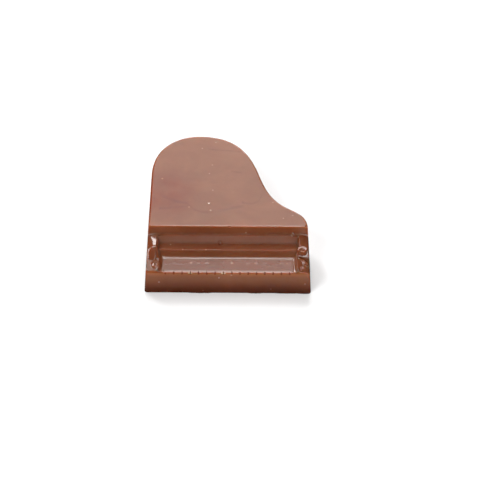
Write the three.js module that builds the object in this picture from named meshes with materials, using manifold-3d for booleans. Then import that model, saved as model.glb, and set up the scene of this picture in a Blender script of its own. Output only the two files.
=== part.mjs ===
// A grand piano moulded in milk chocolate, cast in one solid piece in an open mould.
// The walls and the steps lean so that the piece drops out of the mould.
// X runs along the keyboard from the bass end, Y from the keyboard to the tail, Z up.
// Sizes are in millimetres. While the shape is made, Y is counted from the foot of the front.
// At the end the piece is moved so that the origin is on the underside, in the middle of its box.

import * as THREE from 'three';
import { mergeVertices } from 'three/addons/utils/BufferGeometryUtils.js';
import Module from 'manifold-3d';

// The block: underside to lid, the lid's half width, and how far the foot stands out past it
const HEIGHT = 21.0;
const LID_HALF_WIDTH = 32.6;
const LID_EDGE_RADIUS = 0.8;
const SIDE_SPREAD = 2.27;
const FRONT_SPREAD = 2.4;
const CORNER_RADIUS = 1.1;

// The lid's outline in plan: straight bass side, round tail, hollow waist, round treble shoulder.
// Each bend is a cubic curve between two of these points, with a handle's length at either end.
const BASS_SIDE_END = 50.2;
const TAIL_TOP = [-13.2, 74.75];
const TAIL_HANDLES = [21.1, 5.4];
const WAIST_TOP = [12.2, 50.8];
const WAIST_TOP_ANGLE = -74.0;
const BACK_HANDLES = [14.5, 16.3];
const WAIST_FOOT = [24.35, 29.6];
const WAIST_FOOT_ANGLE = -35.0;
const WAIST_HANDLES = [10.7, 8.2];
const TREBLE_SIDE_START = 17.9;
const SHOULDER_HANDLES = [5.7, 7.0];

// The steps down from the lid to the keys: each step's height, its back and its front edge.
// The keys run level, fall a little at the front, and curve up into the lower step at the back.
const KEY_HEIGHT = 11.2;
const KEYS_FALL_START = 2.05;
const KEYS_FALL_ANGLE = 9;
const KEYS_FALL_RADIUS = 1.0;
const KEYS_BACK = 11.2;
const KEYS_COVE = 3.1;
const LOWER_STEP_HEIGHT = 13.7;
const LOWER_STEP_BACK = 15.76;
const LOWER_STEP_FRONT = 11.85;
const LOWER_STEP_RADIUS = 0.15;
const UPPER_STEP_HEIGHT = 17.0;
const UPPER_STEP_BACK = 18.1;
const UPPER_STEP_FRONT = 17.08;
const STEP_RADIUS = 0.4;
const UNDER_LID_RADIUS = 0.8;

// The lid's front rim, which dips a little before it turns down
const LID_FRONT = 18.3;
const LID_RIM_WIDTH = 0.6;
const LID_RIM_DROP = 0.16;
const LID_RIM_RADIUS = 0.4;
const LID_DIP_RADIUS = 2.0;
const LID_CUT_END = 1.0;

// The ends of the keyboard well: half width at the keys, a cove at the foot, a steep wall above it
const WELL_HALF_WIDTH = 26.2;
const WELL_COVE_WIDTH = 2.6;
const WELL_COVE_HEIGHT = 2.0;
const WELL_COVE_ANGLE = 76;
const WELL_TOP_HALF_WIDTH = 30.1;
const WELL_FRONT_WIDENING = 0.7;

// The keys: sixteen white ones from a D to an E, with eleven black ones in very low relief
const KEY_PITCH = 3.44;
const WHITE_KEYS = 16;
const KEYS_LEFT = -25.85;
const GAPS_WITHOUT_BLACK_KEY = [1, 5, 8, 12];
const NOTCH = { halfWidth: 0.6, above: 0.4, front: -1, back: 1.6, frontDepth: 1.2, backDepth: 0.45 };
const BLACK_KEY = {
  halfWidth: 0.85, topHalfWidth: 0.68, front: 6.0, topFront: 6.8, back: 8.7, rise: 0.08, depth: 0.25,
};

// The arms at both ends of the keyboard: a high rail, a slope down to a low block at the front.
// The block falls outwards in a straight line, and the rail falls in a curve, more steeply towards the front.
// Over the arms, the lid's front lies a hair behind its middle stretch.
const ARM_FRONT_HEIGHT = 11.95;
const ARM_FRONT = [1.2, 12.1, 1.0];
const ARM_SLOPE_TOP = [11.5, 16.4, 1.0];
const ARMS = [
  { side: -1, slopeFoot: [8.1, 12.3, 0.5], blockFall: 0.06 },
  { side: 1, slopeFoot: [9.4, 12.35, 0.6], blockFall: 0.18 },
];
const ARM_CREST_X = 29.0;
const ARM_OUTER_X = 36.0;
const ARM_CUT_INNER_X = 28.0;
const ARM_SLICES = 16;
const RAIL_FOOT_HEIGHT = 12.5;
const RAIL_BLEND_HEIGHT = 3.0;
const RAIL_CURVE = 0.042;
const RAIL_CURVE_GAIN = 0.0075;
const RAIL_CURVE_REACH = 8.0;
const LID_WALL_HEIGHT = 18.0;
const ARM_SET_BACK = 0.05;

// The ornaments in relief on the arms: rounded and flat forms, each with its middle, its radii along
// X, Y and Z, its tilt towards the front in degrees, and a flat form's foot as a share of its face
const OVAL_BOSS = { place: [-31.65, 9.61, 12.94], radii: [1.5, 3.05, 1.3], tilt: 50, foot: 1 };
const BASS_CURL = { place: [-30.0, 4.6, 11.35], radii: [2.4, 3.2, 1.2], tilt: 3 };
const BASS_CURL_HOLLOW = { place: [-29.7, 4.5, 12.75], radii: [0.85, 1.1, 0.5], tilt: 0 };
const SCROLL_BALL = { place: [31.2, 10.7, 14.2], radii: [2.05, 1.75, 1.9], tilt: 0 };
const SCROLL_HEAD = { place: [31.1, 10.4, 15.5], radii: [1.9, 1.35, 0.7], tilt: 8, foot: 1.15 };
const SCROLL_HOLLOW = { place: [30.9, 9.6, 16.4], radii: [1.25, 1.15, 0.8], tilt: 0 };
const LEAF_BUD = { place: [31.2, 3.1, 11.15], radii: [1.9, 1.8, 1.2], tilt: 6 };
const LEAF_RIBS = [
  { from: [28.7, 9.6, 11.5], to: [33.6, 5.6, 11.35], radius: 1.1 },
  { from: [29.4, 7.0, 11.3], to: [34.0, 4.2, 10.7], radius: 0.9 },
];

// Chocolate that crept under the mould's rim: thin lobes at the foot of the front face
const FLASH_LOBES = [
  { x: -11.6, halfLength: 4.9, reach: 0.30 },
  { x: 11.7, halfLength: 2.8, reach: 0.30 },
  { x: 24.8, halfLength: 4.4, reach: 0.22 },
  { x: 32.2, halfLength: 2.8, reach: 0.42 },
];
const FLASH_WAVE = 0.15;
const FLASH_WAVES = 9;
const FLASH_THICKNESS = 0.5;
const FLASH_LIP = 0.6;
const FLASH_LIP_REACH = 0.8;

// Shallow round pits left by air bubbles and small chips, by the way that the surface faces there.
// Each is the x, y and z of its middle, its radius, and its depth as a share of the radius.
const PITS = [
  { facing: [0, -0.99, 0.12], places: [
    [7.4, 18.1, 17.6, 0.36, 0.3], [-28.6, 0.51, 5.76, 0.42, 0.25], [-3.6, 0.67, 7.49, 0.32, 0.25],
    [1.6, 0.84, 9.42, 0.28, 0.25], [18.1, 0.2, 2.28, 0.3, 0.25], [32.3, 0.47, 5.23, 0.4, 0.25],
    [-10.3, 0.08, 0.94, 0.3, 0.3],
  ] },
  { facing: [0, -0.7, 0.7], places: [
    [0.6, 18.5, 20.75, 0.55, 0.4], [19.8, 18.5, 20.75, 0.4, 0.4],
    [-18.4, 11.8, 13.68, 0.38, 0.3], [-8.5, 11.8, 13.68, 0.38, 0.3], [-3.4, 15.9, 13.8, 0.65, 0.35],
  ] },
  { facing: [0, 0, 1], places: [
    [-24.1, 14.75, 13.7, 0.36, 0.25], [-18.7, 17.5, 17, 0.4, 0.4], [27.3, 17.5, 17, 0.5, 0.3],
    [-28.6, 47.5, 21, 0.4, 0.14], [-7.2, 56.4, 21, 0.36, 0.14], [-8.4, 50.9, 21, 0.3, 0.14],
    [-6.7, 40.5, 21, 0.4, 0.14], [-16.6, 29.9, 21, 0.3, 0.14], [-8.4, 32.5, 21, 0.55, 0.16],
    [-7.5, 28.1, 21, 0.5, 0.16], [18.9, 33.1, 21, 0.4, 0.14], [23.2, 23.5, 21, 0.35, 0.14],
    [27.2, 25.2, 21, 0.35, 0.14], [-11.8, 67.2, 21, 0.35, 0.14], [-5.9, 71.1, 21, 0.35, 0.14],
    [32.75, 18.9, 20.95, 0.65, 0.6],
  ] },
];

// How finely the round shapes are divided
const CURVE_STEPS = [14, 20, 12, 10];
const CORNER_STEPS = 4;
const FRONT_STEPS = 72;
const LID_ROUND_STEPS = 4;
const ROUND_STEPS = 5;
const PIT_DETAIL = 5;
const EGG_STEPS = 24;
const ARC_STEPS = 8;
const SMALLEST_DETAIL = 0.01;

// How far the cutting shapes reach past what they cut
const FAR = 60;
const FREE = 0.2;
const BELOW_KEYS = 3;
const WELL_FLARE = 4;

const wasm = await Module();
wasm.setup();

function solidOf(geometry) {
  geometry.deleteAttribute('normal');
  geometry.deleteAttribute('uv');
  const closed = mergeVertices(geometry, 1e-5);
  return new wasm.Manifold(new wasm.Mesh({
    numProp: 3,
    vertProperties: new Float32Array(closed.attributes.position.array),
    triVerts: new Uint32Array(closed.index.array),
  }));
}

function geometryOf(solid) {
  const mesh = solid.getMesh();
  const geometry = new THREE.BufferGeometry();
  geometry.setAttribute('position', new THREE.BufferAttribute(new Float32Array(mesh.vertProperties), 3));
  geometry.setIndex(new THREE.BufferAttribute(new Uint32Array(mesh.triVerts), 1));
  geometry.computeVertexNormals();
  return geometry;
}

function shapeFrom(points) {
  return new THREE.Shape(points.map(([a, b]) => new THREE.Vector2(a, b)));
}

// A profile in Y and Z, drawn out along X in equal slices
function prismAcross(points, lowX, highX, slices = 1) {
  const geometry = new THREE.ExtrudeGeometry(
    shapeFrom(points), { depth: highX - lowX, steps: slices, bevelEnabled: false });
  const turn = new THREE.Matrix4().makeBasis(
    new THREE.Vector3(0, 1, 0), new THREE.Vector3(0, 0, 1), new THREE.Vector3(1, 0, 0));
  return geometry.applyMatrix4(turn).translate(lowX, 0, 0);
}

// A profile in X and Z, drawn out along Y
function prismAlong(points, lowY, highY) {
  const geometry = new THREE.ExtrudeGeometry(shapeFrom(points), { depth: highY - lowY, bevelEnabled: false });
  const turn = new THREE.Matrix4().makeBasis(
    new THREE.Vector3(1, 0, 0), new THREE.Vector3(0, 0, 1), new THREE.Vector3(0, -1, 0));
  return geometry.applyMatrix4(turn).translate(0, highY, 0);
}

function moveVertices(geometry, move) {
  const position = geometry.attributes.position;
  const point = new THREE.Vector3();
  for (let i = 0; i < position.count; i += 1) {
    point.fromBufferAttribute(position, i);
    move(point);
    position.setXYZ(i, point.x, point.y, point.z);
  }
  return geometry;
}

// The points of an outline whose corners are [a, b, radius]: a corner with a radius becomes an arc
function rounded(corners) {
  const points = [];
  corners.forEach(([a, b, radius], index) => {
    if (radius === 0) {
      points.push([a, b]);
      return;
    }
    const corner = new THREE.Vector2(a, b);
    const before = new THREE.Vector2(...corners[(index + corners.length - 1) % corners.length]).sub(corner);
    const after = new THREE.Vector2(...corners[(index + 1) % corners.length]).sub(corner);
    const back = before.normalize();
    const ahead = after.normalize();
    const halfAngle = Math.acos(back.dot(ahead)) / 2;
    const way = back.clone().add(ahead).normalize();
    const centre = corner.clone().addScaledVector(way, radius / Math.sin(halfAngle));
    const start = back.clone().multiplyScalar(radius / Math.tan(halfAngle)).add(corner).sub(centre);
    const end = ahead.clone().multiplyScalar(radius / Math.tan(halfAngle)).add(corner).sub(centre);
    const turn = Math.atan2(start.cross(end), start.dot(end));
    for (let i = 0; i <= ROUND_STEPS; i += 1) {
      const point = start.clone().rotateAround(new THREE.Vector2(), (turn * i) / ROUND_STEPS).add(centre);
      points.push([point.x, point.y]);
    }
  });
  return points;
}

// Points on an arc about a middle, from one angle to another, in degrees
function arc(centreA, centreB, radius, fromAngle, toAngle, steps = ARC_STEPS) {
  const points = [];
  for (let i = 0; i <= steps; i += 1) {
    const angle = THREE.MathUtils.degToRad(fromAngle + ((toAngle - fromAngle) * i) / steps);
    points.push([centreA + radius * Math.cos(angle), centreB + radius * Math.sin(angle)]);
  }
  return points;
}

function bend(start, startAngle, startHandle, end, endAngle, endHandle) {
  const a = THREE.MathUtils.degToRad(startAngle);
  const b = THREE.MathUtils.degToRad(endAngle);
  return new THREE.CubicBezierCurve(
    new THREE.Vector2(...start),
    new THREE.Vector2(start[0] + startHandle * Math.cos(a), start[1] + startHandle * Math.sin(a)),
    new THREE.Vector2(end[0] - endHandle * Math.cos(b), end[1] - endHandle * Math.sin(b)),
    new THREE.Vector2(...end),
  );
}

// The lid's edge in plan, clockwise from the bass end of the front.
// Each entry holds a point and the way that the wall spreads below it.
function lidOutline() {
  const w = LID_HALF_WIDTH;
  const front = FRONT_SPREAD;
  const outline = [];
  const bends = [
    bend([-w, BASS_SIDE_END], 90, TAIL_HANDLES[0], TAIL_TOP, 0, TAIL_HANDLES[1]),
    bend(TAIL_TOP, 0, BACK_HANDLES[0], WAIST_TOP, WAIST_TOP_ANGLE, BACK_HANDLES[1]),
    bend(WAIST_TOP, WAIST_TOP_ANGLE, WAIST_HANDLES[0], WAIST_FOOT, WAIST_FOOT_ANGLE, WAIST_HANDLES[1]),
    bend(WAIST_FOOT, WAIST_FOOT_ANGLE, SHOULDER_HANDLES[0], [w, TREBLE_SIDE_START], -90, SHOULDER_HANDLES[1]),
  ];
  bends.forEach((curve, index) => {
    const steps = CURVE_STEPS[index];
    for (let i = index === 0 ? 0 : 1; i <= steps; i += 1) {
      const point = curve.getPoint(i / steps);
      const tangent = curve.getTangent(i / steps);
      outline.push({ x: point.x, y: point.y, outX: -tangent.y, outY: tangent.x });
    }
  });
  const r = CORNER_RADIUS;
  for (const [x, y] of arc(w - r, front + r, r, 0, -90, CORNER_STEPS)) {
    outline.push({ x, y, outX: 1, outY: -1 });
  }
  for (let i = 1; i < FRONT_STEPS; i += 1) {
    const x = (w - r) * (1 - (2 * i) / FRONT_STEPS);
    outline.push({ x, y: front, outX: x / (w - r), outY: -1 });
  }
  for (const [x, y] of arc(-w + r, front + r, r, -90, -180, CORNER_STEPS)) {
    outline.push({ x, y, outX: -1, outY: -1 });
  }
  return outline;
}

// How far a lobe of flash stands out from the foot of the front at a place along X
function flashReach(x) {
  let reach = 0;
  for (const lobe of FLASH_LOBES) {
    const share = (x - lobe.x) / lobe.halfLength;
    if (Math.abs(share) < 1) {
      const wave = 1 - FLASH_WAVE + FLASH_WAVE * Math.cos(FLASH_WAVES * share);
      reach = Math.max(reach, lobe.reach * wave * Math.sqrt(1 - share * share));
    }
  }
  return reach;
}

// The wall's rings from the underside up: height, share of the flash, distance out past the lid's outline
function wallRings() {
  const shoulder = HEIGHT - LID_EDGE_RADIUS;
  const rings = [
    { z: 0, flash: 1 },
    { z: FLASH_THICKNESS * FLASH_LIP, flash: FLASH_LIP_REACH },
    { z: FLASH_THICKNESS, flash: 0 },
    { z: shoulder, flash: 0 },
  ];
  for (let i = 1; i <= LID_ROUND_STEPS; i += 1) {
    const angle = (i / LID_ROUND_STEPS) * (Math.PI / 2);
    const z = shoulder + LID_EDGE_RADIUS * Math.sin(angle);
    rings.push({ z, flash: 0, edge: LID_EDGE_RADIUS * Math.cos(angle) });
  }
  return rings;
}

function wallOffset(ring, spread) {
  if (ring.edge !== undefined) {
    return ring.edge;
  }
  const share = ring.z / (HEIGHT - LID_EDGE_RADIUS);
  return spread + (LID_EDGE_RADIUS - spread) * share;
}

// The whole block: the lid's outline, spread down to the foot
function block() {
  const outline = lidOutline();
  const rings = wallRings();
  const count = outline.length;
  const vertices = [];
  for (const ring of rings) {
    for (const place of outline) {
      const side = wallOffset(ring, SIDE_SPREAD);
      const atFront = place.outY === -1;
      const across = wallOffset(ring, atFront ? FRONT_SPREAD : SIDE_SPREAD);
      const flash = atFront ? ring.flash * flashReach(place.x) : 0;
      vertices.push(place.x + place.outX * side, place.y + place.outY * (across + flash), ring.z);
    }
  }
  const indices = [];
  for (let level = 0; level < rings.length - 1; level += 1) {
    for (let i = 0; i < count; i += 1) {
      const a = level * count + i;
      const b = level * count + ((i + 1) % count);
      indices.push(a, a + count, b, b, a + count, b + count);
    }
  }
  for (const [level, facing] of [[0, -1], [rings.length - 1, 1]]) {
    const start = level * count;
    const plan = outline.map((_, i) => new THREE.Vector2(
      vertices[3 * (start + i)], vertices[3 * (start + i) + 1]));
    for (const [a, b, c] of THREE.ShapeUtils.triangulateShape(plan, [])) {
      const turn = plan[b].clone().sub(plan[a]).cross(plan[c].clone().sub(plan[a]));
      const [second, third] = turn * facing > 0 ? [b, c] : [c, b];
      indices.push(start + a, start + second, start + third);
    }
  }
  const geometry = new THREE.BufferGeometry();
  geometry.setAttribute('position', new THREE.BufferAttribute(new Float32Array(vertices), 3));
  geometry.setIndex(indices);
  return geometry;
}

// The lid's front from the upper step up, its rim, and the space in front of the lid
function lidFrontProfile(setBack) {
  const front = LID_FRONT + setBack;
  const back = front + LID_CUT_END;
  return [
    [UPPER_STEP_BACK + setBack, UPPER_STEP_HEIGHT, UNDER_LID_RADIUS],
    [front, HEIGHT - LID_RIM_DROP, LID_RIM_RADIUS], [front + LID_RIM_WIDTH, HEIGHT, LID_DIP_RADIUS],
    [back, HEIGHT, 0], [back, FAR, 0], [-FAR, FAR, 0],
  ];
}

// The keyboard well: its steps from the side, cut off by the coved and flared ends
function wellCut() {
  const farBelow = KEY_HEIGHT - (FAR + KEYS_FALL_START) * Math.tan(THREE.MathUtils.degToRad(KEYS_FALL_ANGLE));
  const steps = prismAcross(rounded([
    [-FAR, farBelow, 0], [KEYS_FALL_START, KEY_HEIGHT, KEYS_FALL_RADIUS], [KEYS_BACK, KEY_HEIGHT, KEYS_COVE],
    [LOWER_STEP_FRONT, LOWER_STEP_HEIGHT, LOWER_STEP_RADIUS],
    [LOWER_STEP_BACK, LOWER_STEP_HEIGHT, STEP_RADIUS],
    [UPPER_STEP_FRONT, UPPER_STEP_HEIGHT, STEP_RADIUS], ...lidFrontProfile(0),
  ]), -FAR, FAR);
  const end = [];
  for (let i = 0; i <= ARC_STEPS; i += 1) {
    const angle = (i / ARC_STEPS) * THREE.MathUtils.degToRad(WELL_COVE_ANGLE);
    end.push([
      WELL_HALF_WIDTH + WELL_COVE_WIDTH * Math.sin(angle),
      KEY_HEIGHT + WELL_COVE_HEIGHT * (1 - Math.cos(angle)),
    ]);
  }
  end.push([WELL_TOP_HALF_WIDTH, UPPER_STEP_HEIGHT], [WELL_TOP_HALF_WIDTH + WELL_FLARE, FAR]);
  const mirrored = end.map(([x, z]) => [-x, z]).reverse();
  const below = KEY_HEIGHT - BELOW_KEYS;
  const outline = [[WELL_HALF_WIDTH, below], ...end, ...mirrored, [-WELL_HALF_WIDTH, below]];
  const ends = moveVertices(prismAlong(outline, -FAR, LID_FRONT + LID_CUT_END + FREE), (point) => {
    const share = (KEYS_BACK - point.y) / KEYS_BACK;
    point.x += Math.sign(point.x) * WELL_FRONT_WIDENING * share;
  });
  return solidOf(steps).intersect(solidOf(ends));
}

// What is cut away above an arm and the low block in front of it
function armCut({ side, slopeFoot, blockFall }) {
  const profile = rounded([
    [-FAR, ARM_FRONT_HEIGHT, 0], ARM_FRONT, slopeFoot, ARM_SLOPE_TOP, ...lidFrontProfile(ARM_SET_BACK),
  ]);
  const [low, high] = side < 0 ? [-ARM_OUTER_X, -ARM_CUT_INNER_X] : [ARM_CUT_INNER_X, ARM_OUTER_X];
  return moveVertices(prismAcross(profile, low, high, ARM_SLICES), (point) => {
    if (point.z < LID_WALL_HEIGHT) {
      const outwards = Math.max(Math.abs(point.x) - ARM_CREST_X, 0);
      const share = THREE.MathUtils.clamp((point.z - RAIL_FOOT_HEIGHT) / RAIL_BLEND_HEIGHT, 0, 1);
      const forward = THREE.MathUtils.clamp(LID_FRONT - point.y, 0, RAIL_CURVE_REACH);
      const curve = RAIL_CURVE + RAIL_CURVE_GAIN * forward;
      point.z -= outwards * blockFall * (1 - share) + outwards * outwards * curve * share;
    }
  });
}

// A unit form brought to its radii, tilted towards the front and put in its place
function placed(form, { place, radii, tilt }) {
  form.scale(...radii);
  form.rotateX(THREE.MathUtils.degToRad(tilt));
  return solidOf(form.translate(...place));
}

function egg(size) {
  return placed(new THREE.SphereGeometry(1, EGG_STEPS, EGG_STEPS / 2), size);
}

// A flat round form, whose foot may be wider than its face
function disc(size) {
  return placed(new THREE.CylinderGeometry(1, size.foot, 2, EGG_STEPS).rotateX(Math.PI / 2), size);
}

// A long egg between two points
function leafRib({ from, to, radius }) {
  const start = new THREE.Vector3(...from);
  const way = new THREE.Vector3(...to).sub(start);
  const rib = new THREE.SphereGeometry(1, EGG_STEPS, EGG_STEPS / 2);
  rib.scale(radius, way.length() / 2, radius);
  rib.applyQuaternion(new THREE.Quaternion().setFromUnitVectors(
    new THREE.Vector3(0, 1, 0), way.clone().normalize()));
  const middle = start.addScaledVector(way, 0.5);
  return solidOf(rib.translate(middle.x, middle.y, middle.z));
}

function bassCurl() {
  return egg(BASS_CURL).subtract(egg(BASS_CURL_HOLLOW));
}

function trebleScroll() {
  return egg(SCROLL_BALL).add(disc(SCROLL_HEAD).subtract(egg(SCROLL_HOLLOW)));
}

// A low block with leaning sides, whose front runs down to the white keys in a gentle slope
function blackKey(gap) {
  const x = KEYS_LEFT + KEY_PITCH * (gap + 1);
  const { halfWidth, topHalfWidth, front, topFront, back, rise, depth } = BLACK_KEY;
  const slope = (topFront - front) / rise;
  const profile = [
    [front - depth * slope, KEY_HEIGHT - depth], [topFront, KEY_HEIGHT + rise],
    [back, KEY_HEIGHT + rise], [back, KEY_HEIGHT - depth],
  ];
  return moveVertices(prismAcross(profile.reverse(), x - halfWidth, x + halfWidth), (point) => {
    if (point.z > KEY_HEIGHT) {
      point.x = x + Math.sign(point.x - x) * topHalfWidth;
    }
  });
}

// The notch between two white keys: deepest at the front edge and shallower behind it
function keyNotch(gap) {
  const x = KEYS_LEFT + KEY_PITCH * (gap + 1);
  const top = KEY_HEIGHT + NOTCH.above;
  const points = [[x - NOTCH.halfWidth, top], [x, KEY_HEIGHT - NOTCH.frontDepth], [x + NOTCH.halfWidth, top]];
  return moveVertices(prismAlong(points, NOTCH.front, NOTCH.back), (point) => {
    if (point.y > 0 && point.z < KEY_HEIGHT) {
      point.z = KEY_HEIGHT - NOTCH.backDepth;
    }
  });
}

// A ball that takes out a shallow cap of the given radius and depth
function pit([x, y, z, radius, depth], facing) {
  const ball = (radius * (1 + depth * depth)) / (2 * depth);
  const middle = new THREE.Vector3(x, y, z).addScaledVector(facing, ball - depth * radius);
  return new THREE.IcosahedronGeometry(ball, PIT_DETAIL).translate(middle.x, middle.y, middle.z);
}

function piano() {
  let solid = solidOf(block());
  solid = solid.subtract(wellCut());
  for (const arm of ARMS) {
    solid = solid.subtract(solidOf(armCut(arm)));
  }
  const ornaments = [disc(OVAL_BOSS), bassCurl(), trebleScroll(), egg(LEAF_BUD), ...LEAF_RIBS.map(leafRib)];
  for (const ornament of ornaments) {
    solid = solid.add(ornament);
  }
  for (let gap = 0; gap < WHITE_KEYS - 1; gap += 1) {
    solid = solid.subtract(solidOf(keyNotch(gap)));
    if (!GAPS_WITHOUT_BLACK_KEY.includes(gap)) {
      solid = solid.add(solidOf(blackKey(gap)));
    }
  }
  for (const { facing, places } of PITS) {
    const way = new THREE.Vector3(...facing).normalize();
    for (const place of places) {
      solid = solid.subtract(solidOf(pit(place, way)));
    }
  }
  return solid.simplify(SMALLEST_DETAIL);
}

const geometry = geometryOf(piano());
geometry.computeBoundingBox();
const middle = geometry.boundingBox.getCenter(new THREE.Vector3());
geometry.translate(-middle.x, -middle.y, 0);

const milkChocolate = new THREE.MeshStandardMaterial({
  color: new THREE.Color(0x7b4632),
  roughness: 0.25,
  metalness: 0,
});
const body = new THREE.Mesh(geometry, milkChocolate);
body.name = 'chocolate_piano';

const group = new THREE.Group();
group.add(body);

export default group;
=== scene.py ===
import math
import random

import bpy
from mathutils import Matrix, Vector


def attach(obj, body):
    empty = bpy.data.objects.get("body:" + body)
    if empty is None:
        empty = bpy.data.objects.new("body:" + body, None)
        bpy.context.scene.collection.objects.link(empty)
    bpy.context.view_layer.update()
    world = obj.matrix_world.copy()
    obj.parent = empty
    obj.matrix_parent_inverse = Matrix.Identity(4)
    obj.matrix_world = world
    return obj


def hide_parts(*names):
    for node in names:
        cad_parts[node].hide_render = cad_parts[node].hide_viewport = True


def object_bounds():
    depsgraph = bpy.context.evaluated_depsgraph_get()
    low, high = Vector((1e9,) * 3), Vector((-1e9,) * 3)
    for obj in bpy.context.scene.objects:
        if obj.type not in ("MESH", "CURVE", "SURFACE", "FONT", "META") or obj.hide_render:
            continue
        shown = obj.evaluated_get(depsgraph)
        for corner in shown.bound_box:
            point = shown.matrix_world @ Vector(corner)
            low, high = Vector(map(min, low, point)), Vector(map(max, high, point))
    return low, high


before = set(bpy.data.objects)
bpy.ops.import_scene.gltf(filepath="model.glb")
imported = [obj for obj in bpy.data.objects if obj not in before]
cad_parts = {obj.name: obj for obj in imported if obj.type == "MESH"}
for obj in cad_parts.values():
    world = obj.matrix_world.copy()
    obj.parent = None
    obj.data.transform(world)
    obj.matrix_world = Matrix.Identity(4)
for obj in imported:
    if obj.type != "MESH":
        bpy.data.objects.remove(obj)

cad_low, cad_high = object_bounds()


# The block of milk chocolate: the closed lid of a grand piano and the leaning wall below it. It is cast
# solid in an open mould, so the wall spreads towards the flat underside. The piece is drawn in millimetres,
# with Y counted from the foot of the front, and it is shrunk to metres when its shape is finished.
height = 21.0
lid_half_width = 32.6
lid_edge_radius = 0.8
side_spread = 2.27
front_spread = 2.4
corner_radius = 1.1
bass_side_end = 50.2
treble_side_start = 17.9
tail_top = Vector((-13.2, 74.75, 0))
waist_top = Vector((12.2, 50.8, 0))
waist_foot = Vector((24.35, 29.6, 0))
wall_gain = (side_spread - lid_edge_radius) / (height - lid_edge_radius) * lid_edge_radius


def pick(obj, kind, test):
    """In edit mode, selects the vertices, edges or faces whose places pass the test, and nothing else."""
    bpy.ops.mesh.select_mode(type=kind)
    bpy.ops.mesh.select_all(action='DESELECT')
    bpy.ops.object.mode_set(mode='OBJECT')
    mesh = obj.data
    if kind == 'VERT':
        for vertex in mesh.vertices:
            vertex.select = test(vertex.co)
    if kind == 'EDGE':
        for edge in mesh.edges:
            edge.select = test(*[mesh.vertices[i].co for i in edge.vertices])
    if kind == 'FACE':
        for face in mesh.polygons:
            face.select = test(face.center)
    bpy.ops.object.mode_set(mode='EDIT')


def step_in_plan(angle, length):
    """A step of the given length, at an angle in degrees from the X axis."""
    turn = math.radians(angle)
    return Vector((length * math.cos(turn), length * math.sin(turn), 0))


# The lid's outline is a bezier ring of eight points. Each has a handle back to the point before it and one
# ahead to the next. Where the outline bends, these are given by an angle and a length.
bass_front = Vector((-lid_half_width, front_spread, 0))
bass_end = Vector((-lid_half_width, bass_side_end, 0))
treble_start = Vector((lid_half_width, treble_side_start, 0))
treble_front = Vector((lid_half_width, front_spread, 0))
front_middle = Vector((0, front_spread, 0))
bass_step = (bass_end - bass_front) / 3
treble_step = (treble_front - treble_start) / 3
front_step = (bass_front - front_middle) / 3
outline_points = [
    (bass_front, -front_step, bass_step),
    (bass_end, -bass_step, step_in_plan(90, 21.1)),
    (tail_top, step_in_plan(180, 5.4), step_in_plan(0, 14.5)),
    (waist_top, step_in_plan(106, 16.3), step_in_plan(-74, 10.7)),
    (waist_foot, step_in_plan(145, 8.2), step_in_plan(-35, 5.7)),
    (treble_start, step_in_plan(90, 7.0), treble_step),
    (treble_front, -treble_step, front_step),
    (front_middle, -front_step, front_step),
]
bpy.ops.object.select_all(action='DESELECT')
bpy.ops.curve.primitive_bezier_circle_add(radius=lid_half_width)
outline = bpy.context.object
bpy.ops.object.mode_set(mode='EDIT')
bpy.ops.curve.select_all(action='SELECT')
bpy.ops.curve.subdivide(number_cuts=1)
bpy.ops.object.mode_set(mode='OBJECT')
for point, (place, back, ahead) in zip(outline.data.splines[0].bezier_points, outline_points):
    point.handle_left_type = 'FREE'
    point.handle_right_type = 'FREE'
    point.co = place
    point.handle_left = place + back
    point.handle_right = place + ahead
outline.data.resolution_u = 36
bpy.ops.object.convert(target='MESH')
piano = bpy.context.object
piano.name = "moulded_piano"
piano.data.name = "moulded_piano"

# The outline is drawn up as a wall that leans outwards to the foot, and both ends are closed
wall_top_spread = lid_edge_radius - wall_gain
bpy.ops.object.mode_set(mode='EDIT')
bpy.ops.mesh.select_all(action='SELECT')
bpy.ops.mesh.extrude_edges_move(TRANSFORM_OT_translate={"value": (0, 0, height)})
bpy.ops.mesh.select_all(action='SELECT')
bpy.ops.mesh.normals_make_consistent(inside=False)
bpy.ops.transform.shrink_fatten(value=wall_top_spread, use_even_offset=True)
pick(piano, 'VERT', lambda place: place.z < height / 2)
bpy.ops.transform.shrink_fatten(value=side_spread - wall_top_spread, use_even_offset=True)
pick(piano, 'VERT', lambda place: place.z < height / 2 and place.y < front_spread - 1)
bpy.ops.transform.translate(value=(0, side_spread - front_spread, 0))
pick(piano, 'VERT', lambda place: place.z > height / 2)
bpy.ops.mesh.edge_face_add()
pick(piano, 'VERT', lambda place: place.z < height / 2)
bpy.ops.mesh.edge_face_add()
bpy.ops.mesh.select_all(action='SELECT')
bpy.ops.mesh.normals_make_consistent(inside=False)

# The upright edges at the front and the lid's edge are rounded
pick(piano, 'EDGE', lambda a, b: max(a.y, b.y) < front_spread and abs(a.z - b.z) > height / 2
     and min(abs(a.x), abs(b.x)) > lid_half_width)
bpy.ops.mesh.bevel(offset=corner_radius, offset_type='OFFSET', segments=6, profile=0.5, affect='EDGES')
lid_edge_bevel = 0.95 * lid_edge_radius
pick(piano, 'EDGE', lambda a, b: min(a.z, b.z) > height - 0.01)
bpy.ops.mesh.bevel(offset=lid_edge_bevel, offset_type='OFFSET', segments=6, profile=0.5, affect='EDGES')

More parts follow.
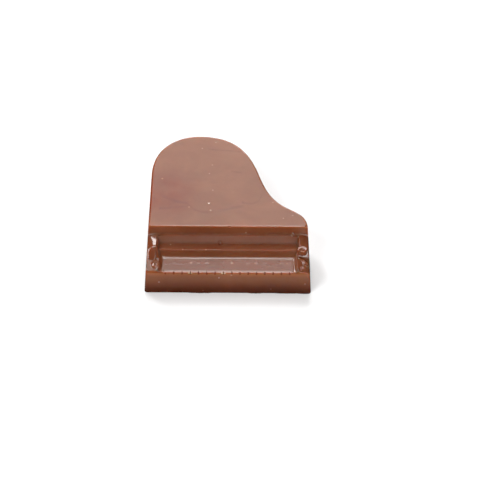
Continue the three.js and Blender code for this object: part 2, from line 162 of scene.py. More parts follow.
# Thin flash stands out in lobes at the foot of the front, where chocolate crept under the mould's rim.
# Each lobe is its middle along X, half its length, and how far it stands out.
flash_lobes = [(-11.6, 4.9, 0.30), (11.7, 2.8, 0.30), (24.8, 4.4, 0.22), (32.2, 2.8, 0.36)]
flash_thickness = 0.5
flash_lip = 0.6 * flash_thickness
flash_lip_reach = 0.8
flash_wave = 0.15
flash_waves = 9
front_face_depth = 0.6
for level in (flash_thickness, flash_lip):
    bpy.ops.mesh.select_all(action='SELECT')
    bpy.ops.mesh.bisect(plane_co=(0, 0, level), plane_no=(0, 0, 1))
bpy.ops.object.mode_set(mode='OBJECT')
for vertex in piano.data.vertices:
    place = vertex.co
    if place.z < (flash_thickness + flash_lip) / 2 and place.y < front_face_depth:
        share_of_height = 1 if place.z < flash_lip / 2 else flash_lip_reach
        for middle, half_length, reach in flash_lobes:
            share = (place.x - middle) / half_length
            if abs(share) < 1:
                wave = 1 - flash_wave + flash_wave * math.cos(flash_waves * share)
                place.y -= reach * wave * math.sqrt(1 - share * share) * share_of_height


# The steps below the lid and the keyboard well: the mould's own faces, taken out of the block.
# Where two faces meet, the mould is round, so each profile is drawn with a radius at every corner.
far = 60
lid_front = 18.3
lid_cut_end = lid_front + 1.0
lid_rim_width = 0.6
lid_rim_drop = 0.16
upper_step_height = 17.0
upper_step_back = 18.1
upper_step_front = 17.08
lower_step_height = 13.7
lower_step_back = 15.76
lower_step_front = 11.85
key_height = 11.2
keys_back = 11.2
keys_cove = 3.1
keys_fall_start = 2.05
keys_fall = math.tan(math.radians(9))


def rounded(corners, steps=8):
    """The points of a closed outline whose corners are (a, b, radius)."""
    points = []
    for index, (a, b, radius) in enumerate(corners):
        corner = Vector((a, b))
        if radius == 0:
            points.append((a, b))
            continue
        back = (Vector(corners[index - 1][:2]) - corner).normalized()
        ahead = (Vector(corners[(index + 1) % len(corners)][:2]) - corner).normalized()
        half_angle = back.angle(ahead) / 2
        middle = corner + (back + ahead).normalized() * radius / math.sin(half_angle)
        start = corner + back * radius / math.tan(half_angle) - middle
        end = corner + ahead * radius / math.tan(half_angle) - middle
        for step in range(steps + 1):
            points.append(tuple(middle + radius * start.slerp(end, step / steps)))
    return points


def prism(name, points, length):
    """A closed solid: a face through the points in space, drawn out by the length's vector."""
    bpy.ops.object.select_all(action='DESELECT')
    bpy.ops.mesh.primitive_circle_add(vertices=len(points), fill_type='NGON')
    solid = bpy.context.object
    solid.name = name
    for vertex, point in zip(solid.data.vertices, points):
        vertex.co = point
    bpy.ops.object.mode_set(mode='EDIT')
    bpy.ops.mesh.select_all(action='SELECT')
    bpy.ops.mesh.extrude_region_move(TRANSFORM_OT_translate={"value": length})
    bpy.ops.mesh.select_all(action='SELECT')
    bpy.ops.mesh.normals_make_consistent(inside=False)
    bpy.ops.object.mode_set(mode='OBJECT')
    return solid


def slice_across(obj, axis, levels):
    """Adds a ring of edges at each level, so that the shading of long faces stays true."""
    bpy.ops.object.select_all(action='DESELECT')
    obj.select_set(True)
    bpy.context.view_layer.objects.active = obj
    bpy.ops.object.mode_set(mode='EDIT')
    for level in levels:
        bpy.ops.mesh.select_all(action='SELECT')
        bpy.ops.mesh.bisect(plane_co=level * axis, plane_no=axis)
    bpy.ops.object.mode_set(mode='OBJECT')


def combine(target, tool, operation):
    """Joins, cuts or crosses the target with a closed tool, which is then gone."""
    bpy.ops.object.select_all(action='DESELECT')
    target.select_set(True)
    bpy.context.view_layer.objects.active = target
    bpy.ops.object.modifier_add(type='BOOLEAN')
    modifier = target.modifiers[-1]
    modifier.operation = operation
    modifier.solver = 'MANIFOLD'
    modifier.object = tool
    bpy.ops.object.modifier_apply(modifier=modifier.name)
    bpy.data.objects.remove(tool)


# The lid's front rim dips a little and then turns down; above it the space is open
lid_rim = [
    (upper_step_back, upper_step_height, 0.8), (lid_front, height - lid_rim_drop, 0.4),
    (lid_front + lid_rim_width, height, 2.0), (lid_cut_end, height, 0), (lid_cut_end + 0.01, far, 0),
    (-far, far, 0),
]

# The well's steps, seen from the side. Each corner is its Y, its Z and its radius.
step_profile = rounded([
    (-far, key_height - (far + keys_fall_start) * keys_fall, 0), (keys_fall_start, key_height, 1.0),
    (keys_back, key_height, keys_cove), (lower_step_front, lower_step_height, 0.15),
    (lower_step_back, lower_step_height, 0.4), (upper_step_front, upper_step_height, 0.4),
    *lid_rim,
])
well = prism("well", [(-far, y, z) for y, z in step_profile], (2 * far, 0, 0))
well_slices = [-25, -22, -12, 0, 12, 22, 25]
slice_across(well, Vector((1, 0, 0)), well_slices)

# The well's ends lean outwards, rise from the keys in a hollow curve, and spread towards the front
well_ends_back = lid_cut_end + 0.2
well_ends_foot = key_height - 3
well_half_width = 26.2
well_top_half_width = 30.1
well_flare = 4
cove_width = 2.6
cove_height = 2.0
cove_turn = math.radians(76)
cove_steps = 12
front_widening = 0.7
end_slices = [2.2, 3.4, 4.6, 5.8, 7.0, 8.2, 10, 12, 14, 16]
end_profile = [(well_half_width, well_ends_foot)]
for step in range(cove_steps + 1):
    turn = cove_turn * step / cove_steps
    end_profile.append((well_half_width + cove_width * math.sin(turn),
                        key_height + cove_height * (1 - math.cos(turn))))
end_profile += [(well_top_half_width, upper_step_height), (well_top_half_width + well_flare, far)]
end_profile += [(-x, z) for x, z in reversed(end_profile)]
ends = prism("well_ends", [(x, well_ends_back, z) for x, z in end_profile], (0, -far, 0))
for vertex in ends.data.vertices:
    share = (keys_back - vertex.co.y) / keys_back
    vertex.co.x += math.copysign(front_widening, vertex.co.x) * share
slice_across(ends, Vector((0, 1, 0)), end_slices)
combine(well, ends, 'INTERSECT')
combine(piano, well, 'DIFFERENCE')


# The arms at both ends of the keyboard: a rail level with the upper step, a slope, and a low block in front.
# They are cast with the block. The rail curves down outwards, more so towards the front, and the low block
# falls a little outwards. The treble arm's slope is shorter, and its low block falls more.
arm_inner_x = 28
arm_outer_x = 36
arm_crest_x = 29.0
arm_slices = [28.5 + 0.5 * index for index in range(12)]
arm_length_slices = [2.5, 4, 5.5, 7, 13, 14.5, 16]
rail_foot_height = 12.5
rail_blend_height = 3
rail_curve_at_lid = 0.042
rail_curve_gain = 0.0075
rail_curve_reach = 8
lid_wall_height = 18.0

# An arm's corners from the side are Y, Z and radius. Each arm has its side of the piece, the foot of its
# slope, and how much its low block falls for each millimetre outwards.
block_front = [(-far, 11.95, 0), (1.2, 12.1, 1.0)]
slope_top = (11.5, 16.4, 1.0)
arm_sides = [(-1, (8.1, 12.3, 0.5), 0.06), (1, (9.4, 12.35, 0.6), 0.18)]
for side, slope_foot, block_fall in arm_sides:
    arm_profile = rounded([*block_front, slope_foot, slope_top, *lid_rim])
    arm_space = prism("arm_space", [(side * arm_inner_x, y, z) for y, z in arm_profile],
                      (side * (arm_outer_x - arm_inner_x), 0, 0))
    slice_across(arm_space, Vector((side, 0, 0)), arm_slices)
    slice_across(arm_space, Vector((0, 1, 0)), arm_length_slices)
    for vertex in arm_space.data.vertices:
        outwards = max(abs(vertex.co.x) - arm_crest_x, 0)
        share = min(max((vertex.co.z - rail_foot_height) / rail_blend_height, 0), 1)
        from_lid = min(max(lid_front - vertex.co.y, 0), rail_curve_reach)
        rail_curve = rail_curve_at_lid + rail_curve_gain * from_lid
        if vertex.co.z < lid_wall_height:
            vertex.co.z -= outwards * block_fall * (1 - share) + outwards ** 2 * rail_curve * share
    combine(piano, arm_space, 'DIFFERENCE')


def round_edges(obj, sharp_angle, sizes):
    """Rounds the sharp edges, each by what the sizes function gives for its middle; at 0 it stays sharp."""
    bpy.ops.object.select_all(action='DESELECT')
    obj.select_set(True)
    bpy.context.view_layer.objects.active = obj
    bpy.ops.object.mode_set(mode='EDIT')
    bpy.ops.mesh.select_mode(type='EDGE')
    bpy.ops.mesh.select_all(action='DESELECT')
    bpy.ops.mesh.edges_select_sharp(sharpness=math.radians(sharp_angle))
    bpy.ops.object.mode_set(mode='OBJECT')
    mesh = obj.data
    weights = mesh.attributes.new("bevel_weight_edge", 'FLOAT', 'EDGE')
    widest = 1.0
    for edge in mesh.edges:
        if edge.select:
            a, b = [mesh.vertices[i].co for i in edge.vertices]
            weights.data[edge.index].value = sizes((a + b) / 2) / widest
    bpy.ops.object.modifier_add(type='BEVEL')
    modifier = obj.modifiers[-1]
    modifier.limit_method = 'WEIGHT'
    modifier.width = widest
    modifier.segments = 4
    modifier.use_clamp_overlap = False
    bpy.ops.object.modifier_apply(modifier=modifier.name)
    mesh = obj.data
    mesh.attributes.remove(mesh.attributes["bevel_weight_edge"])


# The rims of the well and the arms are rounded by a quarter to half a millimetre: those along the front,
# and on the arms those towards the outer walls and towards the well
sharp_from = 28
rims_lowest = 10
rims_highest = upper_step_height + 1
rims_back = lid_front - 0.5
front_rims_back = 2.2
outer_rims_x = 32
inner_rims_x = 29.5
inner_rims_lowest = 11.6
well_rim_radius = 0.25
arm_front_radius = 0.5
outer_rim_radius = 0.4


def rim_size(middle):
    """The radius of a sharp edge on the keyboard end of the piece, from where its middle is."""
    x, y, z = abs(middle.x), middle.y, middle.z
    if z < rims_lowest or z > rims_highest or y > rims_back:
        return 0
    if y < front_rims_back:
        return well_rim_radius if x < arm_inner_x else arm_front_radius
    if x > outer_rims_x:
        return outer_rim_radius
    if x > inner_rims_x and z > inner_rims_lowest:
        return well_rim_radius
    return 0


round_edges(piano, sharp_from, rim_size)


# The ornaments on the arms are part of the same casting: an oval boss and a small curl at the bass end,
# a round scroll with leaf ribs and a bud in front of it at the treble end, all in soft relief.
def egg(place, radii, turn):
    """An egg of three radii, turned by three angles in degrees."""
    bpy.ops.object.select_all(action='DESELECT')
    bpy.ops.mesh.primitive_uv_sphere_add(segments=48, ring_count=32, location=place,
                                         rotation=[math.radians(angle) for angle in turn], scale=radii)
    return bpy.context.object


def disc(place, radii, turn, foot):
    """A flat round form of three radii, whose underside is foot times as wide as its face."""
    bpy.ops.object.select_all(action='DESELECT')
    bpy.ops.mesh.primitive_cone_add(vertices=48, radius1=foot, radius2=1, depth=2, location=place,
                                    rotation=[math.radians(angle) for angle in turn], scale=radii)
    return bpy.context.object


def rib(start, end, thickness):
    """A long egg between two points."""
    start, end = Vector(start), Vector(end)
    way = end - start
    bpy.ops.object.select_all(action='DESELECT')
    bpy.ops.mesh.primitive_uv_sphere_add(segments=20, ring_count=14, location=(start + end) / 2,
                                         rotation=way.to_track_quat('Z', 'Y').to_euler(),
                                         scale=(thickness, thickness, way.length / 2))
    return bpy.context.object


def joined(name, parts):
    """The parts as one object."""
    bpy.ops.object.select_all(action='DESELECT')
    for part in parts:
        part.select_set(True)
    bpy.context.view_layer.objects.active = parts[0]
    bpy.ops.object.join()
    parts[0].name = name
    return parts[0]


def melted(name, parts, passes, grain=0.12):
    """The parts run together into one soft closed form, smoothed in so many passes."""
    form = joined(name, parts)
    bpy.ops.object.transform_apply(location=True, rotation=True, scale=True)
    bpy.ops.object.modifier_add(type='REMESH')
    form.modifiers[-1].mode = 'VOXEL'
    form.modifiers[-1].voxel_size = grain
    bpy.ops.object.modifier_apply(modifier=form.modifiers[-1].name)
    bpy.ops.object.modifier_add(type='SMOOTH')
    form.modifiers[-1].iterations = passes
    bpy.ops.object.modifier_apply(modifier=form.modifiers[-1].name)
    return form


oval_boss = melted("oval_boss", [disc((-31.65, 9.61, 12.94), (1.5, 3.05, 1.3), (50, 0, 0), 1)], 3)
combine(piano, oval_boss, 'UNION')
bass_curl = egg((-30.0, 4.6, 11.35), (2.4, 3.2, 1.2), (3, 0, 0))
combine(piano, bass_curl, 'UNION')
bass_curl_hollow = egg((-29.7, 4.5, 12.75), (0.85, 1.1, 0.5), (0, 0, 0))
combine(piano, bass_curl_hollow, 'DIFFERENCE')
scroll_ball = egg((31.2, 10.7, 14.2), (2.05, 1.75, 1.9), (0, 0, 0))
scroll_head = disc((31.1, 10.4, 15.5), (1.9, 1.35, 0.7), (8, 0, 0), 1.15)
scroll_hollow = egg((30.9, 9.6, 16.4), (1.25, 1.15, 0.8), (0, 0, 0))
combine(scroll_head, scroll_hollow, 'DIFFERENCE')
treble_scroll = melted("treble_scroll", [scroll_ball, scroll_head], 2)
combine(piano, treble_scroll, 'UNION')
leaf_ribs = melted("leaf_ribs", [
    rib((28.7, 9.6, 11.5), (33.6, 5.6, 11.35), 1.1),
    rib((29.4, 7.0, 11.3), (34.0, 4.2, 10.7), 0.9),
    egg((31.2, 3.1, 11.15), (1.9, 1.8, 1.2), (6, 0, 0)),
], 2)
combine(piano, leaf_ribs, 'UNION')


# The keys are part of the casting too: sixteen white keys parted by small notches at the front edge,
# and eleven black keys that hardly rise above them. No black key stands in four of the fifteen gaps.
key_pitch = 3.44
white_keys = 16
keys_left = -25.85
gaps_without_black_key = [1, 5, 8, 12]
black_key_front = 6.0
black_key_back = 8.7
black_key_half_width = 0.85
black_key_slope = 0.8
black_key_top_share = 0.8
black_key_root = 0.25
black_key_rises = (0.03, 0.12)
notch_half_width = 0.6
notch_front = -1
notch_length = 2.6
notch_depths = (0.9, 1.5)
notch_back_depth = 0.45
notch_headroom = 0.4


def black_key(x, rise):
    """A low block whose front runs down to the white keys in a gentle slope."""
    middle_y = (black_key_front + black_key_back) / 2
    length = black_key_back - black_key_front
    bpy.ops.object.select_all(action='DESELECT')
    bpy.ops.mesh.primitive_cube_add(size=1, location=(x, middle_y, key_height + (rise - black_key_root) / 2),
                                    scale=(2 * black_key_half_width, length, black_key_root + rise))
    key = bpy.context.object
    key.name = "black_key"
    bpy.ops.object.transform_apply(location=True, rotation=True, scale=True)
    bpy.ops.object.mode_set(mode='EDIT')
    pick(key, 'VERT', lambda place: place.z > key_height)
    bpy.ops.transform.resize(value=(black_key_top_share, 1, 1))
    pick(key, 'VERT', lambda place: place.z > key_height and place.y < middle_y)
    bpy.ops.transform.translate(value=(0, black_key_slope, 0))
    pick(key, 'VERT', lambda place: place.z < key_height and place.y < middle_y)
    bpy.ops.transform.translate(value=(0, -black_key_root * black_key_slope / rise, 0))
    bpy.ops.object.mode_set(mode='OBJECT')
    return key


chance = random.Random(7)
black_keys = []
notches = []
for gap in range(white_keys - 1):
    x = keys_left + key_pitch * (gap + 1)
    if gap not in gaps_without_black_key:
        black_keys.append(black_key(x, chance.uniform(*black_key_rises)))
    notch_top = key_height + notch_headroom
    notch_foot = key_height - chance.uniform(*notch_depths)
    notch = prism("key_notch", [(x - notch_half_width, notch_front, notch_top), (x, notch_front, notch_foot),
                                (x + notch_half_width, notch_front, notch_top)], (0, notch_length, 0))
    for vertex in notch.data.vertices:
        if vertex.co.y > 0 and vertex.co.z < key_height:
            vertex.co.z = key_height - notch_back_depth
    notches.append(notch)
combine(piano, joined("black_keys", black_keys), 'UNION')
combine(piano, joined("key_notches", notches), 'DIFFERENCE')


# Air bubbles and small chips, as the mould left them: shallow round pits on the lid, the steps and the front.
# Each is a place, the way that the surface faces there, the pit's radius, and its depth as a share of that.
up = Vector((0, 0, 1))
forward = Vector((0, -0.99, 0.12))
edgeways = (up + forward).normalized()
pits = [
    ((7.4, 18.1, 17.6), forward, 0.36, 0.3), ((-28.6, 0.51, 5.76), forward, 0.42, 0.25),
    ((-3.6, 0.67, 7.49), forward, 0.32, 0.25), ((1.6, 0.84, 9.42), forward, 0.28, 0.25),
    ((18.1, 0.2, 2.28), forward, 0.3, 0.25), ((32.3, 0.47, 5.23), forward, 0.4, 0.25),
    ((-10.3, 0.08, 0.94), forward, 0.3, 0.3), ((0.6, 18.5, 20.75), edgeways, 0.55, 0.4),
    ((19.8, 18.5, 20.75), edgeways, 0.4, 0.4), ((32.75, 18.9, 20.95), up, 0.65, 0.6),
    ((-18.4, 11.8, 13.68), edgeways, 0.38, 0.3), ((-8.5, 11.8, 13.68), edgeways, 0.38, 0.3),
    ((-3.4, 15.9, 13.8), edgeways, 0.65, 0.35), ((-24.1, 14.75, 13.7), up, 0.36, 0.25),
    ((-18.7, 17.5, 17.0), up, 0.4, 0.4), ((27.3, 17.5, 17.0), up, 0.5, 0.3),
    ((-28.6, 47.5, 21.0), up, 0.4, 0.14), ((-7.2, 56.4, 21.0), up, 0.36, 0.14),
    ((-8.4, 50.9, 21.0), up, 0.3, 0.14), ((-6.7, 40.5, 21.0), up, 0.4, 0.14),
    ((-16.6, 29.9, 21.0), up, 0.3, 0.14), ((-8.4, 32.5, 21.0), up, 0.55, 0.16),
    ((-7.5, 28.1, 21.0), up, 0.5, 0.16), ((18.9, 33.1, 21.0), up, 0.4, 0.14),
    ((23.2, 23.5, 21.0), up, 0.35, 0.14), ((27.2, 25.2, 21.0), up, 0.35, 0.14),
    ((-11.8, 67.2, 21.0), up, 0.35, 0.14), ((-5.9, 71.1, 21.0), up, 0.35, 0.14),
]
for place, facing, radius, depth in pits:
    ball_radius = radius * (1 + depth ** 2) / (2 * depth)
    bpy.ops.object.select_all(action='DESELECT')
    bpy.ops.mesh.primitive_uv_sphere_add(segments=32, ring_count=32, radius=ball_radius,
                                         location=Vector(place) + facing * (ball_radius - depth * radius))
    combine(piano, bpy.context.object, 'DIFFERENCE')

# The finished piece goes to its place in the frame, in metres, with its origin at the frame's origin.
# Only the black keys stay flat, because their low faces would melt away in the smooth shading.
bpy.ops.object.select_all(action='DESELECT')
piano.select_set(True)
bpy.context.view_layer.objects.active = piano
tail_y = max(vertex.co.y for vertex in piano.data.vertices)
bpy.ops.transform.translate(value=(0, cad_high.y * 1000 - tail_y, 0))
bpy.ops.transform.resize(value=(0.001, 0.001, 0.001), center_override=(0, 0, 0))
bpy.ops.object.transform_apply(location=True, rotation=True, scale=True)
bpy.ops.object.shade_smooth_by_angle(angle=math.radians(32))
bpy.ops.object.mode_set(mode='EDIT')
black_keys_lowest = (key_height + 0.005) / 1000
black_keys_highest = (key_height + 0.15) / 1000
black_keys_front = cad_low.y + 0.0055
black_keys_back = cad_low.y + 0.0082
black_keys_half_span = 0.0265
pick(piano, 'FACE', lambda place: black_keys_lowest < place.z < black_keys_highest
     and black_keys_front < place.y < black_keys_back and abs(place.x) < black_keys_half_span)
bpy.ops.mesh.faces_shade_flat()
bpy.ops.object.mode_set(mode='OBJECT')
bpy.ops.object.modifier_add(type='WEIGHTED_NORMAL')
piano.modifiers[-1].keep_sharp = True
bpy.ops.object.modifier_apply(modifier=piano.modifiers[-1].name)


# Milk chocolate: cocoa and milk solids in cocoa butter, set against a polished mould, so it is glossy on top.
# Red light goes a few millimetres into it. The mould's filling left flow lines and cloudy patches on the lid.
chocolate = bpy.data.materials.new("milk_chocolate")
chocolate.use_nodes = True
chocolate_nodes = chocolate.node_tree.nodes
chocolate_links = chocolate.node_tree.links
place_in_piece = chocolate_nodes.new('ShaderNodeTexCoord').outputs["Object"]


def feed(socket, value):
    """Joins a node's output to the socket, or sets the socket to a plain value."""
    if isinstance(value, bpy.types.NodeSocket):
        chocolate_links.new(value, socket)
    else:
        socket.default_value = value


def math_of(operation, a, b=0.0, c=0.0):
    """The result of one sum, worked out at every point of the surface."""
    node = chocolate_nodes.new('ShaderNodeMath')
    node.operation = operation
    for socket, value in zip(node.inputs, (a, b, c)):
        feed(socket, value)
    return node.outputs[0]


def ramp(value, low, high, to_low=0.0, to_high=1.0):
    """A soft change from to_low to to_high, while the value goes from low to high."""
    node = chocolate_nodes.new('ShaderNodeMapRange')
    node.interpolation_type = 'SMOOTHSTEP'
    for socket, setting in zip(node.inputs, (value, low, high, to_low, to_high)):
        feed(socket, setting)
    return node.outputs[0]


def cloud(scale, detail=2.0, distortion=0.0, stretch=(1, 1, 1)):
    """A cloudy pattern through the whole piece; a stretch above 1 makes it finer along that axis."""
    stretched = chocolate_nodes.new('ShaderNodeMapping')
    stretched.inputs["Scale"].default_value = stretch
    chocolate_links.new(place_in_piece, stretched.inputs["Vector"])
    node = chocolate_nodes.new('ShaderNodeTexNoise')
    node.inputs["Scale"].default_value = scale
    node.inputs["Detail"].default_value = detail
    node.inputs["Distortion"].default_value = distortion
    chocolate_links.new(stretched.outputs[0], node.inputs["Vector"])
    return node.outputs["Fac"]


def blend(mode, share, a, b):
    """Colour a, changed towards b in the given mode by the share."""
    node = chocolate_nodes.new('ShaderNodeMix')
    node.data_type = 'RGBA'
    node.blend_type = mode
    feed(node.inputs[0], share)
    feed(node.inputs[6], a)
    feed(node.inputs[7], b)
    return node.outputs[2]


separate_axes = chocolate_nodes.new('ShaderNodeSeparateXYZ')
chocolate_links.new(place_in_piece, separate_axes.inputs[0])
piece_x, piece_y, piece_z = separate_axes.outputs
foot_to_origin = cad_high.y - tail_y / 1000
from_front = math_of('SUBTRACT', piece_y, cad_low.y)
on_lid = ramp(piece_z, 0.0200, 0.0208)
between_arms = ramp(math_of('ABSOLUTE', piece_x), 0.0262, 0.0270, 1.0, 0.0)


def flow_line(points, width):
    """A soft line over the lid through points in millimetres, given from the bass side to the treble side."""
    xs = [x for x, _ in points]
    ys = [y for _, y in points]
    low_y, high_y = min(ys) - 2, max(ys) + 2
    along = math_of('DIVIDE', math_of('SUBTRACT', piece_x, xs[0] / 1000), (xs[-1] - xs[0]) / 1000)
    bend = chocolate_nodes.new('ShaderNodeFloatCurve')
    curve = bend.mapping.curves[0]
    while len(curve.points) < len(points):
        curve.points.new(0.5, 0.5)
    for knot, (x, y) in zip(curve.points, points):
        knot.location = ((x - xs[0]) / (xs[-1] - xs[0]), (y - low_y) / (high_y - low_y))
    bend.mapping.update()
    feed(bend.inputs["Value"], along)
    line_y = math_of('MULTIPLY_ADD', bend.outputs[0], (high_y - low_y) / 1000, low_y / 1000 + foot_to_origin)
    wander = math_of('MULTIPLY', math_of('SUBTRACT', cloud(260, 3), 0.5), 0.0012)
    away = math_of('ABSOLUTE', math_of('ADD', math_of('SUBTRACT', piece_y, line_y), wander))
    body = ramp(away, 0.0, width / 1000, 1.0, 0.0)
    ends = math_of('MULTIPLY', ramp(along, 0.0, 0.08), ramp(along, 0.9, 1.0, 1.0, 0.0))
    return math_of('MULTIPLY', math_of('MULTIPLY', body, ends), on_lid)


flow_lines = [
    flow_line([(-30.3, 38.1), (-25.5, 35.2), (-21.2, 33.0), (-17.4, 31.8), (-15.8, 29.9), (-12.6, 27.7),
               (-8.8, 27.0), (-2.0, 28.2), (4.3, 30.1), (7.7, 31.1)], 1.5),
    flow_line([(-29.9, 28.9), (-23.2, 29.5), (-16.4, 30.5)], 1.3),
    flow_line([(5.3, 33.2), (11.7, 33.0), (13.8, 36.4), (14.6, 41.1)], 1.2),
    flow_line([(0.8, 52.6), (5.9, 51.3)], 1.1),
    flow_line([(-10.0, 66.6), (-2, 65.8), (6.7, 65.0)], 0.8),
]
flow = flow_lines[0]
for line in flow_lines[1:]:
    flow = math_of('MAXIMUM', flow, line)
flow = math_of('MULTIPLY', flow, ramp(cloud(150, 3), 0.35, 0.6, 0.35, 1.0))

# Faint drag marks run across the lid, longer than they are wide, over cloudy patches and a fine mottle
drag = ramp(cloud(38, 4, 0.6, (1, 7, 1)), 0.42, 0.72)
patches = cloud(48, 3, 0.8)
mottle = cloud(520, 4)

# Specks of fat bloom: round and pale, each in a cell of its own, and too small to see in most cells
bloom = chocolate_nodes.new('ShaderNodeTexVoronoi')
bloom.inputs["Scale"].default_value = 210
chocolate_links.new(place_in_piece, bloom.inputs["Vector"])
bloom_chance = chocolate_nodes.new('ShaderNodeSeparateColor')
chocolate_links.new(bloom.outputs["Color"], bloom_chance.inputs[0])
bloom_reach = math_of('MULTIPLY', math_of('POWER', bloom_chance.outputs[0], 6), 0.14)
speck = ramp(math_of('DIVIDE', bloom.outputs["Distance"], bloom_reach), 0.6, 1.1, 1.0, 0.0)

# Pale spots, partly painted highlights: glints at the pits of the front and on the fronts of five black keys,
# and pale specks at the pits on the lid and the steps. Places and radii in millimetres
spots = [
    (-28.6, 47.5, 21, 0.45), (-7.2, 56.4, 21, 0.35), (-8.4, 50.9, 21, 0.3), (-6.7, 40.5, 21, 0.3),
    (-16.6, 29.9, 21, 0.4), (-8.4, 32.5, 21, 0.5), (-7.5, 28.1, 21, 0.5), (18.9, 33.1, 21, 0.35),
    (23.2, 23.5, 21, 0.35), (27.2, 25.2, 21, 0.3), (-11.8, 67.2, 21, 0.35), (-5.9, 71.1, 21, 0.3),
    (7.5, 18.3, 17.7, 0.4), (26.8, 17.3, 17.0, 0.55), (-18.9, 11.9, 13.7, 0.35), (-9.2, 11.9, 13.7, 0.35),
    (-24.1, 14.75, 13.7, 0.35), (-15.3, 6.5, 11.25, 0.6), (1.9, 6.4, 11.25, 0.6), (11.4, 6.5, 11.25, 0.4),
    (21.8, 6.5, 11.25, 0.4), (24.7, 6.5, 11.25, 0.4), (1.6, 0.84, 10.0, 0.4), (-3.6, 0.67, 8.4, 0.4),
    (-28.6, 0.51, 5.76, 0.45), (18.1, 0.2, 2.28, 0.35), (32.3, 0.47, 5.23, 0.4), (-10.3, 0.08, 1.2, 0.4),
]


def away_from(x, y, z):
    """The distance from a place given in millimetres."""
    node = chocolate_nodes.new('ShaderNodeVectorMath')
    node.operation = 'DISTANCE'
    node.inputs[1].default_value = (x / 1000, y / 1000 + foot_to_origin, z / 1000)
    chocolate_links.new(place_in_piece, node.inputs[0])
    return node.outputs["Value"]


pale_spots_and_glints = 0.0
for x, y, z, radius in spots:
    pale_spots_and_glints = math_of('MAXIMUM', ramp(away_from(x, y, z), radius / 2000, radius / 800, 1.0, 0.0), pale_spots_and_glints)

# The lid is a little deeper in colour along its bass side
deeper = math_of('MULTIPLY', ramp(away_from(-28, 37, 21), 0.004, 0.021, 1.0, 0.0), on_lid)
deeper = math_of('MULTIPLY', deeper, ramp(cloud(90, 3), 0.3, 0.6, 0.6, 1.0))

# The chocolate's own browns, and the tints that multiply them, each on one part of the surface. The tints for
# the notches, the front rim, the front wall and the foot are painted light and shade.
darker_brown = (0.168, 0.0520, 0.0210, 1)
paler_brown = (0.197, 0.0635, 0.0265, 1)
flow_brown = (0.135, 0.030, 0.009, 1)
bloom_brown = (0.36, 0.15, 0.07, 1)
pale_spots_and_glints_brown = (0.44, 0.24, 0.15, 1)
lid_tint = (1.4, 1.5, 1.2, 1)
bass_side_tint = (0.84, 0.4, 0.05, 1)
keys_tint = (1.0, 0.8, 0.55, 1)
notch_painted_shade = (0.6, 0.45, 0.4, 1)
front_rim_painted_light = (1.3, 1.25, 1.1, 1)
front_wall_painted_reflection = (1.2, 1.6, 2.3, 1)
foot_painted_shade = (0.75, 0.70, 0.66, 1)
front_foot_painted_shade = (0.35, 0.21, 0.17, 1)
colour = blend('MIX', ramp(patches, 0.3, 0.7), darker_brown, paler_brown)
mottle_tint = blend('MIX', mottle, (0.88, 0.86, 0.84, 1), (1.1, 1.1, 1.1, 1))
colour = blend('MULTIPLY', 0.5, colour, mottle_tint)
colour = blend('MIX', math_of('MULTIPLY', flow, 0.7), colour, flow_brown)
colour = blend('MIX', math_of('MULTIPLY', speck, 0.12), colour, bloom_brown)
# Pale spots: painted highlights on the black keys and the front, pale specks elsewhere
colour = blend('MIX', math_of('MULTIPLY', pale_spots_and_glints, 0.45), colour, pale_spots_and_glints_brown)
colour = blend('MULTIPLY', math_of('MULTIPLY', on_lid, 0.5), colour, lid_tint)
colour = blend('MULTIPLY', deeper, colour, bass_side_tint)

# The keys are tinted redder, painted shade darkens the notches between them, and painted light makes the rim
# in front paler
on_keys = math_of('MULTIPLY', ramp(from_front, 0.0024, 0.0036), ramp(from_front, 0.0076, 0.0086, 1.0, 0.0))
on_keys = math_of('MULTIPLY', on_keys, between_arms)
colour = blend('MULTIPLY', on_keys, colour, keys_tint)
from_gap = math_of('PINGPONG', math_of('SUBTRACT', piece_x, keys_left / 1000), key_pitch / 2000)
in_notch = between_arms
for limit in (ramp(from_gap, 0.0002, 0.0005, 1.0, 0.0), ramp(piece_z, 0.0099, 0.0104),
              ramp(piece_z, 0.0109, 0.0111, 1.0, 0.0), ramp(from_front, 0.0020, 0.0026, 1.0, 0.0)):
    in_notch = math_of('MULTIPLY', in_notch, limit)
# Painted shade in the notches
colour = blend('MULTIPLY', in_notch, colour, notch_painted_shade)
on_front_rim = math_of('MULTIPLY', ramp(piece_z, 0.0085, 0.0108), ramp(from_front, 0.0012, 0.0024, 1.0, 0.0))
# Painted light on the front rim
colour = blend('MULTIPLY', on_front_rim, colour, front_rim_painted_light)

# Painted reflection makes the front wall paler and greyer, and painted shade makes every wall darker towards
# the foot, the front wall most
on_front = ramp(from_front, 0.003, 0.005, 1.0, 0.0)
on_front_wall = math_of('MULTIPLY', on_front, ramp(piece_z, 0.0105, 0.0109, 1.0, 0.0))
# Painted reflection on the front wall
colour = blend('MULTIPLY', on_front_wall, colour, front_wall_painted_reflection)
near_foot = ramp(piece_z, 0.0, 0.0095, 1.0, 0.0)
# Painted shade towards the foot
colour = blend('MULTIPLY', near_foot, colour, blend('MIX', on_front, foot_painted_shade, front_foot_painted_shade))

# The surface has the polish of the mould; the flow lines, the specks and the keys are duller
roughness = math_of('MULTIPLY_ADD', ramp(patches, 0.35, 0.75), 0.03, 0.10)
for marks, gain in ((drag, 0.03), (flow, 0.10), (speck, 0.1), (on_keys, 0.16)):
    roughness = math_of('MULTIPLY_ADD', marks, gain, roughness)

shader = chocolate_nodes["Principled BSDF"]
feed(shader.inputs["Base Color"], colour)
feed(shader.inputs["Roughness"], roughness)
shader.inputs["IOR"].default_value = 1.5
shader.inputs["Subsurface Weight"].default_value = 1.0
shader.inputs["Subsurface Radius"].default_value = (1.0, 0.35, 0.15)
shader.inputs["Subsurface Scale"].default_value = 0.004


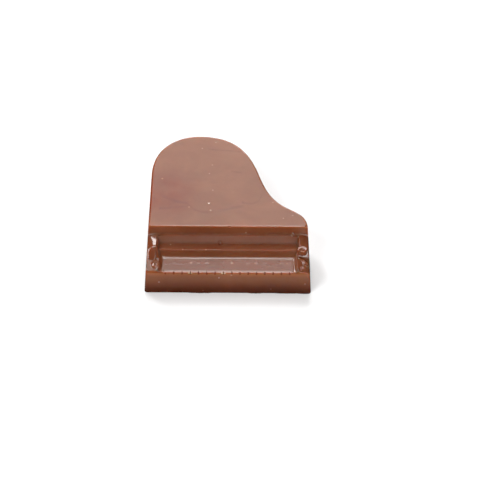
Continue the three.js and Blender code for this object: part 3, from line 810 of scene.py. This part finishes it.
def bump(relief, depth, before=None):
    """Fine relief, so many metres deep, over the relief that was there before."""
    node = chocolate_nodes.new('ShaderNodeBump')
    node.inputs["Strength"].default_value = 1.0
    node.inputs["Distance"].default_value = depth
    feed(node.inputs["Height"], relief)
    if before is not None:
        chocolate_links.new(before, node.inputs["Normal"])
    return node.outputs[0]


surface = bump(cloud(95, 2), 0.00012)
surface = bump(drag, 0.00002, surface)
surface = bump(mottle, 0.000012, surface)
surface = bump(speck, 0.00004, surface)
chocolate_links.new(surface, shader.inputs["Normal"])
piano.data.materials.clear()
piano.data.materials.append(chocolate)
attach(piano, "root")
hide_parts("chocolate_piano")


# The white surface that the piece lies on: a sheet under it, and the table around that. The sheet is left out
# of the piece's gloss, so that the front mirrors nothing pale near its foot.
sheet_size = 0.4
table_cells = 9
white = bpy.data.materials.new("white_floor")
white.use_nodes = True
white_shader = white.node_tree.nodes["Principled BSDF"]
white_shader.inputs["Base Color"].default_value = (0.9, 0.9, 0.9, 1)
white_shader.inputs["Roughness"].default_value = 0.9
bpy.ops.object.select_all(action='DESELECT')
bpy.ops.mesh.primitive_plane_add(size=sheet_size, location=(0, 0, 0))
sheet = bpy.context.object
sheet.name = "sheet"
sheet.visible_glossy = False
bpy.ops.object.select_all(action='DESELECT')
bpy.ops.mesh.primitive_grid_add(x_subdivisions=table_cells, y_subdivisions=table_cells,
                                size=sheet_size * table_cells, location=(0, 0, 0))
table = bpy.context.object
table.name = "table"
bpy.ops.object.mode_set(mode='EDIT')
pick(table, 'FACE', lambda place: place.length < sheet_size / 4)
bpy.ops.mesh.delete(type='FACE')
bpy.ops.object.mode_set(mode='OBJECT')
for surface_part in (sheet, table):
    surface_part.data.materials.append(white)

# Soft studio light: a strong light behind the bass side and one high over the tail give the highlights on the
# arms and the keys, the panel behind the tail gives the lid its even gloss, and the rest fills in the walls.
world = bpy.data.worlds.new("studio")
bpy.context.scene.world = world
world.use_nodes = True
world.node_tree.nodes["Background"].inputs["Color"].default_value = (0, 0, 0, 1)
light_distance = 1.4
light_target = Vector((0, 0, 0.015))


def softbox(name, turn, rise, width, brightness):
    """A round soft light, equally bright at any width; its turn, from the tail to the bass side, and its
    rise are in degrees."""
    turn, rise = math.radians(turn), math.radians(rise)
    away = Vector((-math.sin(turn) * math.cos(rise), math.cos(turn) * math.cos(rise), math.sin(rise)))
    bpy.ops.object.light_add(type='AREA', location=light_target + away * light_distance,
                             rotation=(-away).to_track_quat('-Z', 'Y').to_euler())
    light = bpy.context.object
    light.name = name
    light.data.shape = 'DISK'
    light.data.size = width
    light.data.energy = brightness * math.pi * math.pi * (width / 2) ** 2


softbox("back_left_light", 40, 45, 0.42, 14.8)
softbox("high_back_light", 0, 62, 0.42, 7.0)
softbox("overhead_light", 0, 78, 0.42, 3.3)
softbox("tail_panel", 0, 50, 0.64, 2.6)
softbox("low_back_light", 0, 20, 0.75, 10.2)
softbox("left_light", 130, 45, 0.75, 8.8)
softbox("low_front_light", 205, 20, 0.75, 7.4)
softbox("high_right_light", 300, 68, 0.75, 1.8)

# The camera looks down at 45 degrees over the keyboard
camera_aim = Vector((0.00503, cad_low.y + 0.0107, 0.021))
camera_elevation = math.radians(45)
camera_roll = math.radians(0.4)
camera_distance = 0.6631
camera_way = Vector((0, -math.cos(camera_elevation), math.sin(camera_elevation)))
bpy.ops.object.camera_add(location=camera_aim + camera_distance * camera_way,
                          rotation=(math.pi / 2 - camera_elevation, 0, 0))
camera = bpy.context.object
camera.data.lens = 120
camera.data.sensor_width = 36
camera.rotation_euler.rotate_axis('Z', camera_roll)
bpy.context.scene.camera = camera
bpy.context.scene.view_settings.view_transform = 'Standard'
